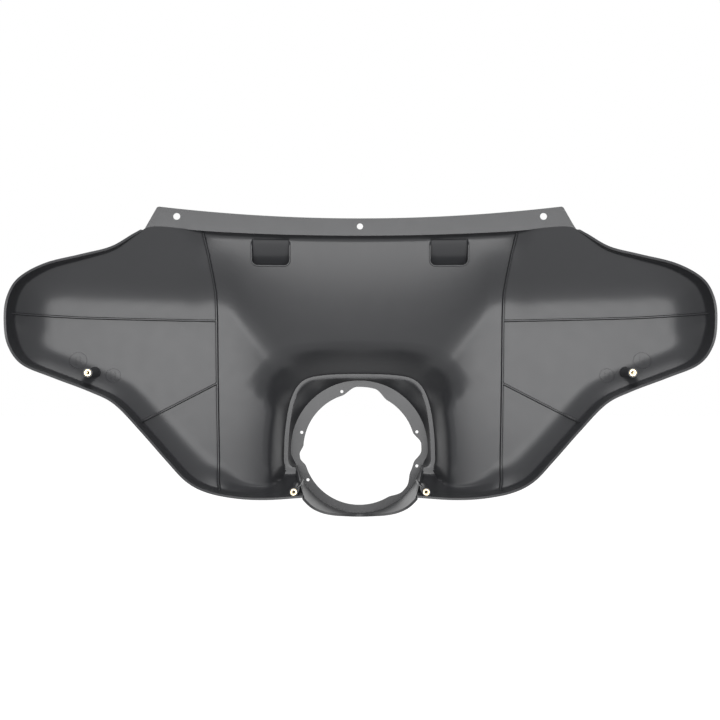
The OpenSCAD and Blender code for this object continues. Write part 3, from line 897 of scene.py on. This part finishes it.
@dataclass
class WindshieldStrip(Moulded):
    """The curved strip above the sill, with its three screw holes."""

    height: float = 23
    thickness: float = 3
    rise: float = 11
    hole_in: float = 28
    hole_z: float = 21.5
    hole_r: float = 4.6
    mid_z: float = 12.2
    mid_r: float = 4.2
    corner_r: float = 4
    end_in: float = 6

    def top(self, x: np.ndarray) -> np.ndarray:
        """Height of the strip's upper edge."""
        return self.form.sill + self.height + self.rise * (x / self.form.strip_half) ** 2

    def end_lines(self) -> tuple[np.ndarray, np.ndarray]:
        """Lines of the right half.

        Returns:
            The upper and the lower line, as x and z, matched point by point.
        """
        form = self.form
        last = form.strip_half - self.end_in
        x = np.linspace(0, last, 60)
        turn = np.radians(np.linspace(78, 20, 6))
        middle = np.array([last, float(self.top(np.array(last))) - self.corner_r])
        corner = middle + self.corner_r * np.stack([np.cos(turn), np.sin(turn)], axis=1)
        end, foot = form.strip_half, form.sill + form.wall
        upper = np.vstack([np.stack([x, self.top(x)], axis=1), corner,
                           [[end + 4.5, foot + 9], [end + 6.8, foot + 5.4]]])
        lower = form.inner_edge(np.linspace(0, 3.6, len(upper))) - np.array([0, 0.5])
        return upper, lower

    def build(self) -> None:
        """Makes the strip and cuts its holes."""
        form = self.form
        upper, lower = self.end_lines()
        flip = np.array([-1, 1])
        upper = np.vstack([upper[:0:-1] * flip, upper])
        lower = np.vstack([lower[:0:-1] * flip, lower])
        shares = np.linspace(0, 1, 7)[:, None, None]
        flat = lower * (1 - shares) + upper * shares
        rear = np.stack([flat[..., 0], form.edge_y(flat[..., 0]), flat[..., 1]], axis=2)
        front = rear + np.array([0, self.thickness, 0])
        loop = np.concatenate([rear, front[::-1], rear[:1]])
        bm = bmesh.new()
        grid_mesh(bm, loop.transpose(1, 0, 2), closed=True)
        obj = finish_mesh(bm, "windshield_strip")
        drill = bmesh.new()
        hole_x = form.strip_half - self.hole_in
        for x, z, r in ((-hole_x, self.hole_z, self.hole_r), (0, self.mid_z, self.mid_r),
                        (hole_x, self.hole_z, self.hole_r)):
            y = float(form.edge_y(x))
            cylinder(drill, x, form.sill + z, y - 10, y + 15, r)
        cut(obj, finish_mesh(drill, "drill"))
        self.moulding(obj, bevel=0.35)


@dataclass
class LampSeat(Moulded):
    """Flange with the lobed lamp opening, collar ahead of it and chin wall behind it."""

    thickness: float = 3
    opening_r: float = 82.6
    lobe_r: float = 91.5
    screw_circle: float = 88.5
    screw_r: float = 2.3
    collar_len: float = 19.5
    collar_t: float = 3
    lobes: tuple = ((84, 8, 24, 0), (1.5, 3, 16, 0), (-42, 2.5, 18, 2.2), (187, 1.5, 11, 3))
    screws: tuple = (-16.5, 16.5, 107, 164, 211)
    chin_shape: tuple = ((0, 0.01), (0.07, 0.3), (0.28, 0.55), (0.55, 0.74), (0.78, 0.86), (0.93, 0.945),
                         (1, 1.0))
    chin_top: float = 24
    chin_front: float = 4

    def opening(self, angle: float) -> float:
        """Radius of the lamp opening.

        Args:
            angle: degrees from the right, upwards.

        Returns:
            The radius, greater in the four lobes.
        """
        rise = 0.0
        for middle, crest, foot, short in self.lobes:
            off = abs((angle - middle + 180) % 360 - 180)
            height = self.lobe_r - short - self.opening_r
            rise = max(rise, height * float(smooth((foot - off) / (foot - crest))))
        return self.opening_r + rise

    def rim(self, angle: float) -> float:
        """Outer radius of the flange: wide inside the arch, narrow above the chin.

        Args:
            angle: degrees from the right, upwards.

        Returns:
            The radius.
        """
        low = self.form.chin_r + self.form.chin_t
        wide = self.form.seat_r + self.form.wall / 2
        return low + (wide - low) * float(smooth((on_circle(wide, angle)[1] + 27) / 6))

    def flange(self) -> None:
        """Makes the flange from two loops that are bridged and thickened."""
        bm = bmesh.new()
        for radius in (self.opening, self.rim):
            made = bmesh.ops.create_circle(bm, segments=540, radius=1)["verts"]
            for k, vert in enumerate(made):
                angle = k * 360 / len(made)
                x, z = on_circle(radius(angle) * MM, angle)
                vert.co = (x, 0, z)
        extrude(bm, bmesh.ops.bridge_loops(bm, edges=bm.edges[:])["faces"], self.thickness)
        obj = finish_mesh(bm, "lamp_flange")
        drill = bmesh.new()
        for angle in self.screws:
            x, z = on_circle(self.screw_circle, angle)
            cylinder(drill, x, z, -2, self.thickness + 2, self.screw_r, segments=32)
        cut(obj, finish_mesh(drill, "drill"))
        self.moulding(obj, bevel=0.3)

    def collar(self) -> None:
        """Makes the collar that reaches ahead of the flange."""
        outer, back = self.form.chin_r + self.form.chin_t, self.thickness - 0.5
        inner, front = outer - self.collar_t, self.thickness + self.collar_len
        bm = bmesh.new()
        profile = [(inner, back), (outer, back), (outer, front - 1.5), (outer - 0.3, front - 0.4),
                   (outer - 1, front), (inner + 1, front), (inner + 0.3, front - 0.4), (inner, front - 1.5)]
        revolve(bm, profile, 0, 0, segments=180)
        self.moulding(bm, "lamp_collar", crease=50)

    def chin_edge(self) -> np.ndarray:
        """Rear edge of the chin in side view.

        Returns:
            Places as z and y, from the belly down to the foot of the flange.
        """
        form = self.form
        y0 = float(form.edge_y(form.chin_x))
        drop = form.chin_r + form.chin_t - form.chin_z
        line = SmoothLine([(y0 * (1 - s), -form.chin_z - t * drop) for s, t in self.chin_shape])
        line.padded[0] = 2 * line.padded[1] - line.padded[2]
        points = line.at(np.linspace(0, line.last, 60))
        return points[:, ::-1]

    def chin(self) -> None:
        """Makes the curved chin wall between the flange and its free rear edge."""
        form = self.form
        inner, outer = form.chin_r, form.chin_r + form.chin_t
        edge = self.chin_edge()
        edge = edge[np.argsort(edge[:, 0])]
        back = float(form.edge_y(0)) + self.chin_front
        low = math.degrees(math.asin(self.chin_top / inner))
        angles = np.radians(np.linspace(-low, -180 + low, 161))
        rear = []
        for a in angles:
            z = inner * math.sin(a)
            y = float(np.interp(z, edge[:, 0], edge[:, 1]))
            if z > -form.chin_z:
                t = (z + form.chin_z) / (form.chin_z - self.chin_top)
                y = back + (form.band_y + self.chin_front - back) * float(smooth(t) ** 0.6)
            rear.append(min(y, -2))
        rows = [[(inner * math.cos(a), y * share + 1.5 * (1 - share), inner * math.sin(a))
                 for a, y in zip(angles, rear)] for share in np.linspace(0, 1, 9)]
        inside = np.array(rows)
        outside = inside * np.array([outer / inner, 1, outer / inner])
        loop = np.concatenate([inside, outside[::-1], inside[:1]])
        bm = bmesh.new()
        grid_mesh(bm, loop.transpose(1, 0, 2), closed=True)
        self.moulding(bm, "chin_wall", bevel=0.4)

    def build(self) -> None:
        """Makes the flange, the collar and the chin wall."""
        self.flange()
        self.collar()
        self.chin()


@dataclass
class Boss(Moulded):
    """A round boss with a pocket for its brass insert."""

    brass: Material
    name: str
    x: float
    z: float
    radius: float
    set_in: float
    root: float
    insert_r: float = 4.4
    insert_len: float = 12
    thread_r: float = 2.1
    thread_depth: float = 0.4
    pitch: float = 0.8
    gap: float = 0.05
    fillet: float = 1.6
    proud: float = 0.2
    knurls: int = 72
    knurl_depth: float = 0.3
    fin: bool = False
    fin_reach: float = 9
    fin_t: float = 2
    fin_in: float = 3

    def __post_init__(self) -> None:
        """Works out the depth of the boss's rear face."""
        self.face_y = float(self.form.edge_y(self.x)) + self.set_in

    def tower(self) -> None:
        """Makes the boss with its pocket."""
        bore, y, r, root, foot = self.insert_r + self.gap, self.face_y, self.radius, self.root, self.fillet
        floor = y + self.insert_len + 2
        bm = bmesh.new()
        revolve(bm, [(0.01, floor), (bore, floor), (bore, y + 0.4), (bore + 0.4, y), (r - 0.5, y),
                     (r - 0.1, y + 0.5), (r + 0.15, root - 3), (r + 0.15 + foot * 0.4, root - 1.2),
                     (r + foot, root), (r + foot, root + 0.8), (0.01, root + 0.8)],
                self.x, self.z, segments=64)
        self.moulding(bm, f"boss_{self.name}")

    def insert(self) -> None:
        """Makes the knurled brass insert with its thread, which stands for the CAD node."""
        y, r, n = self.face_y - self.proud, self.insert_r, self.insert_len
        bore = self.thread_r + self.thread_depth
        bm = bmesh.new()
        profile = [(bore + 0.3, y), (r - 0.25, y), (r, y + 0.25), (r, y + 0.36 * n), (r - 0.5, y + 0.4 * n),
                   (r - 0.5, y + 0.52 * n), (r, y + 0.56 * n), (r, y + 0.88 * n), (r - 0.7, y + n),
                   (bore, y + n), (bore, y + 0.4)]
        revolve(bm, profile, self.x, self.z, segments=self.knurls)
        centre = Vector((self.x, 0, self.z)) * MM
        for vert in bm.verts:
            out = vert.co - centre
            out.y = 0
            turn = round(math.atan2(out.z, out.x) * self.knurls / (2 * math.pi))
            if out.length > (r - 0.1) * MM and vert.co.y > (y + 1) * MM and turn % 2:
                vert.co -= out.normalized() * self.knurl_depth * MM
        self.thread(bm, bore, y + 0.6, turns=round((n - 1.2) / self.pitch))
        obj = finish_mesh(bm, f"threaded_insert_{self.name}")
        dress(obj, self.brass, crease=35)
        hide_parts(f"insert_{self.name}")

    def thread(self, bm: BMesh, bore: float, start: float, turns: int, steps: int = 28) -> None:
        """Winds the thread into the bore of the insert.

        Args:
            bm: mesh of the insert.
            bore: radius of the thread's root.
            start: depth at which the thread starts.
            turns: number of its turns.
            steps: steps in one turn.
        """
        centre = Vector((self.x, 0, self.z)) * MM
        tooth = ((bore + 0.1, 0), (self.thread_r, 0.3), (self.thread_r, 0.45), (bore + 0.1, 0.75))
        profile = [(self.x + q, start + share * self.pitch, self.z) for q, share in tooth]
        face = bm.faces.new([bm.verts.new(Vector(place) * MM) for place in profile])
        bmesh.ops.spin(bm, geom=[face], cent=centre, axis=(0, 1, 0), angle=2 * math.pi * turns,
                       steps=steps * turns, dvec=Vector((0, self.pitch * MM / steps, 0)))

    def gusset(self) -> None:
        """Makes the small fin that ties a lower boss to the chin wall."""
        bm = bmesh.new()
        bmesh.ops.create_cube(bm, size=1)
        depth = self.root - self.face_y - self.fin_in
        bmesh.ops.scale(bm, vec=Vector((self.fin_reach, depth, self.fin_t)) * MM, verts=bm.verts[:])
        bmesh.ops.bevel(bm, geom=bm.edges[:], offset=0.4 * MM, segments=2, affect="EDGES", profile=0.5,
                        material=-1)
        moved(bm, bm.verts[:], (self.radius - 1 + self.fin_reach / 2, 0, 0))
        turn = Matrix.Rotation(math.radians(-135 if self.x > 0 else -45), 3, "Y")
        bmesh.ops.rotate(bm, cent=(0, 0, 0), matrix=turn, verts=bm.verts[:])
        moved(bm, bm.verts[:], (self.x, self.face_y + self.fin_in + depth / 2, self.z))
        self.moulding(bm, f"gusset_{self.name}")

    def build(self) -> None:
        """Makes the boss and its insert, and a lower boss's fin."""
        self.tower()
        self.insert()
        if self.fin:
            self.gusset()


@dataclass
class EjectorMark(Moulded):
    """A faint round mark that an ejector pin left on the skin, with two short slits."""

    name: str
    x: float
    z: float
    radius: float
    slit_gap: float = 4.4
    slit_len: float = 11
    slit_width: float = 1.3
    proud: float = 0.6
    width: float = 1.0
    sunk: float = 0.5

    def drape(self, bm: BMesh) -> None:
        """Lays a flat shape on the skin: every corner keeps its height above the surface.

        Args:
            bm: mesh of the shape.
        """
        xs = np.array([v.co.x for v in bm.verts]) / MM
        zs = np.array([v.co.z for v in bm.verts]) / MM
        for vert, y in zip(bm.verts, self.form.depth(xs, zs)):
            vert.co.y += y * MM

    def build(self) -> None:
        """Makes the ring and the slits."""
        bm = bmesh.new()
        r, half, side_r = self.radius, self.width / 2, self.width / 4
        revolve(bm, [(r - half, self.sunk), (r - side_r, -self.proud), (r + side_r, -self.proud),
                     (r + half, self.sunk)], self.x, self.z, segments=48)
        for side in (-1, 1):
            made = bmesh.ops.create_cube(bm, size=1)["verts"]
            edges = {e for v in made for e in v.link_edges if abs(e.verts[0].co.z - e.verts[1].co.z) > 0.5}
            size = Vector((self.slit_width, 2 * self.proud + 0.6, self.slit_len))
            bmesh.ops.scale(bm, vec=size * MM, verts=made)
            moved(bm, made, (self.x + side * self.slit_gap / 2, 0.2, self.z))
            bmesh.ops.subdivide_edges(bm, edges=list(edges), cuts=4, use_grid_fill=True)
        self.drape(bm)
        self.moulding(bm, self.name)


# Studio


@dataclass
class Studio:
    """White surroundings, soft lamps and the camera at the photograph's place."""

    eye: tuple[float, float, float] = (-10.0, -1582.0, 113.5)
    lens: float = 53.61
    rise: float = 12 / 720
    aside: float = 7.4 / 720
    floor_z: float = -620
    floor_y: float = 4000
    floor_half: float = 12000
    ambient: float = 0.22
    floor_glow: float = 0.92

    @staticmethod
    def seen(tree: NodeTree) -> NodeSocket:
        """Adds a switch for rays that see the surroundings: from the camera, off gloss and through glass.

        Args:
            tree: node tree that takes it.

        Returns:
            A socket that is 1 on those rays and 0 on others.
        """
        path = tree.nodes.new("ShaderNodeLightPath")
        total = path.outputs["Is Camera Ray"]
        for ray in ("Is Glossy Ray", "Is Transmission Ray"):
            add = tree.nodes.new("ShaderNodeMath")
            add.operation, add.use_clamp = "ADD", True
            tree.links.new(total, add.inputs[0])
            tree.links.new(path.outputs[ray], add.inputs[1])
            total = add.outputs[0]
        return total

    def world(self) -> None:
        """Lights the air evenly and shows white to the camera, to gloss and to glass."""
        world = bpy.data.worlds.new("studio_air")
        bpy.context.scene.world = world
        world.use_nodes = True
        nodes, links = world.node_tree.nodes, world.node_tree.links
        nodes.clear()
        mix, out = nodes.new("ShaderNodeMixShader"), nodes.new("ShaderNodeOutputWorld")
        links.new(self.seen(world.node_tree), mix.inputs["Fac"])
        for socket, strength in enumerate((self.ambient, 1.0), 1):
            light = nodes.new("ShaderNodeBackground")
            light.inputs["Color"].default_value = (1, 1, 1, 1)
            light.inputs["Strength"].default_value = strength
            links.new(light.outputs[0], mix.inputs[socket])
        links.new(mix.outputs[0], out.inputs["Surface"])

    def floor(self) -> None:
        """Makes the pale floor, which is seen as white and keeps the part's shadow."""
        bm = bmesh.new()
        bmesh.ops.create_grid(bm, x_segments=8, y_segments=8, size=self.floor_half * MM)
        moved(bm, bm.verts[:], (0, self.floor_y, self.floor_z))
        obj = finish_mesh(bm, "studio_floor", outward=False)
        mat, tree, shader = new_material("pale_floor")
        nodes, links = tree.nodes, tree.links
        shader.inputs["Base Color"].default_value = (0.3, 0.3, 0.3, 1)
        shader.inputs["Roughness"].default_value = 0.8
        glow, add = nodes.new("ShaderNodeEmission"), nodes.new("ShaderNodeAddShader")
        part = nodes.new("ShaderNodeMath")
        part.operation = "MULTIPLY"
        part.inputs[1].default_value = self.floor_glow
        links.new(self.seen(tree), part.inputs[0])
        links.new(part.outputs[0], glow.inputs["Strength"])
        links.new(shader.outputs[0], add.inputs[0])
        links.new(glow.outputs[0], add.inputs[1])
        links.new(add.outputs[0], nodes["Material Output"].inputs["Surface"])
        obj.data.materials.append(mat)

    def lamp(self, name: str, place: tuple[float, float, float], aim: tuple[float, float, float],
             size: tuple[float, float], power: float) -> None:
        """Adds one soft rectangular lamp.

        Args:
            name: its name.
            place: its centre in metres.
            aim: the point it faces, in metres.
            size: width and height in metres.
            power: watts.
        """
        data = bpy.data.lights.new(name, "AREA")
        data.shape, data.size, data.size_y, data.energy = "RECTANGLE", size[0], size[1], power
        obj = bpy.data.objects.new(name, data)
        bpy.context.scene.collection.objects.link(obj)
        obj.location = place
        obj.rotation_euler = (Vector(aim) - Vector(place)).to_track_quat("-Z", "Y").to_euler()

    def camera(self) -> None:
        """Places the camera on the photograph's axis, level, with the small rise of its picture."""
        data = bpy.data.cameras.new("camera")
        data.lens, data.sensor_width, data.shift_x, data.shift_y = self.lens, 36, self.aside, self.rise
        data.clip_end = 50
        obj = bpy.data.objects.new("camera", data)
        bpy.context.scene.collection.objects.link(obj)
        obj.location = Vector(self.eye) * MM
        obj.rotation_euler = (math.radians(90), 0, 0)
        bpy.context.scene.camera = obj

    def build(self) -> None:
        """Sets up the view, the air, the floor, the lamps and the camera."""
        bpy.context.scene.view_settings.view_transform = "Standard"
        self.world()
        self.floor()
        self.lamp("front_soft_box", place=(0, -2.4, 0.25), aim=(0, 0, 0.1), size=(3.0, 1.1), power=88)
        self.lamp("top_soft_box", place=(0, -0.6, 2.0), aim=(0, -0.1, 0.1), size=(2.2, 1.0), power=35)
        self.camera()


# Assembly


@dataclass
class Fairing:
    """The whole part: one moulding and four inserts."""

    form: SkinForm = field(default_factory=SkinForm)
    wing_x: float = 355
    wing_z: float = 112.5
    wing_r: float = 6.5
    low_x: float = 90
    low_z: float = -49.5
    low_r: float = 6.2

    def bosses(self, plastic: Material, brass: Material) -> list[Boss]:
        """Plans the four bosses.

        Args:
            plastic: finish of the moulding.
            brass: finish of the inserts.

        Returns:
            The bosses with their sizes.
        """
        form = self.form
        wing_root = float(form.depth(self.wing_x, self.wing_z)[0]) + form.wall / 2
        low_root = float(form.depth(self.low_x, self.low_z + self.low_r)[0]) + 1
        made = []
        for side, sign in (("left", -1), ("right", 1)):
            wing = (f"wing_{side}", sign * self.wing_x, self.wing_z, self.wing_r)
            low = (f"lower_{side}", sign * self.low_x, self.low_z, self.low_r)
            made.append(Boss(form, plastic, brass, *wing, set_in=5, root=wing_root))
            made.append(Boss(form, plastic, brass, *low, set_in=3, root=low_root, fillet=0.2, fin=True))
        return made

    def marks(self, plastic: Material) -> list[EjectorMark]:
        """Plans the ejector marks beside the wing bosses.

        Args:
            plastic: finish of the moulding.

        Returns:
            The marks.
        """
        places = ((-375, 129, 10.5), (-332, 109, 9), (375, 129, 10.5), (332, 109, 9))
        return [EjectorMark(self.form, plastic, f"ejector_mark_{k}", *place)
                for k, place in enumerate(places, 1)]

    def build(self) -> None:
        """Builds every piece in order."""
        plastic, brass = SATIN_PLASTIC.material(), TURNED_BRASS.material()
        skin = Skin(self.form, plastic).build()
        for name, side in (("pocket_right", 1), ("pocket_left", -1)):
            Pocket(self.form, plastic, name, side).build(skin)
        for sort in (Ribs, WindshieldStrip, LampSeat):
            sort(self.form, plastic).build()
        for boss in self.bosses(plastic, brass):
            boss.build()
        for mark in self.marks(plastic):
            mark.build()


def corners(bounds: tuple[Vector, Vector]) -> list[list[float]]:
    """A box as plain lists of numbers."""
    return [[float(v) for v in corner] for corner in bounds]


def main() -> None:
    """Loads the frame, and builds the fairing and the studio."""
    logging.basicConfig(level=logging.INFO, format="%(name)s: %(message)s")
    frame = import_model()
    log.info("frame loaded: %s", type(frame).__name__)
    Fairing().build()
    Studio().build()


if __name__ == "__main__":
    main()
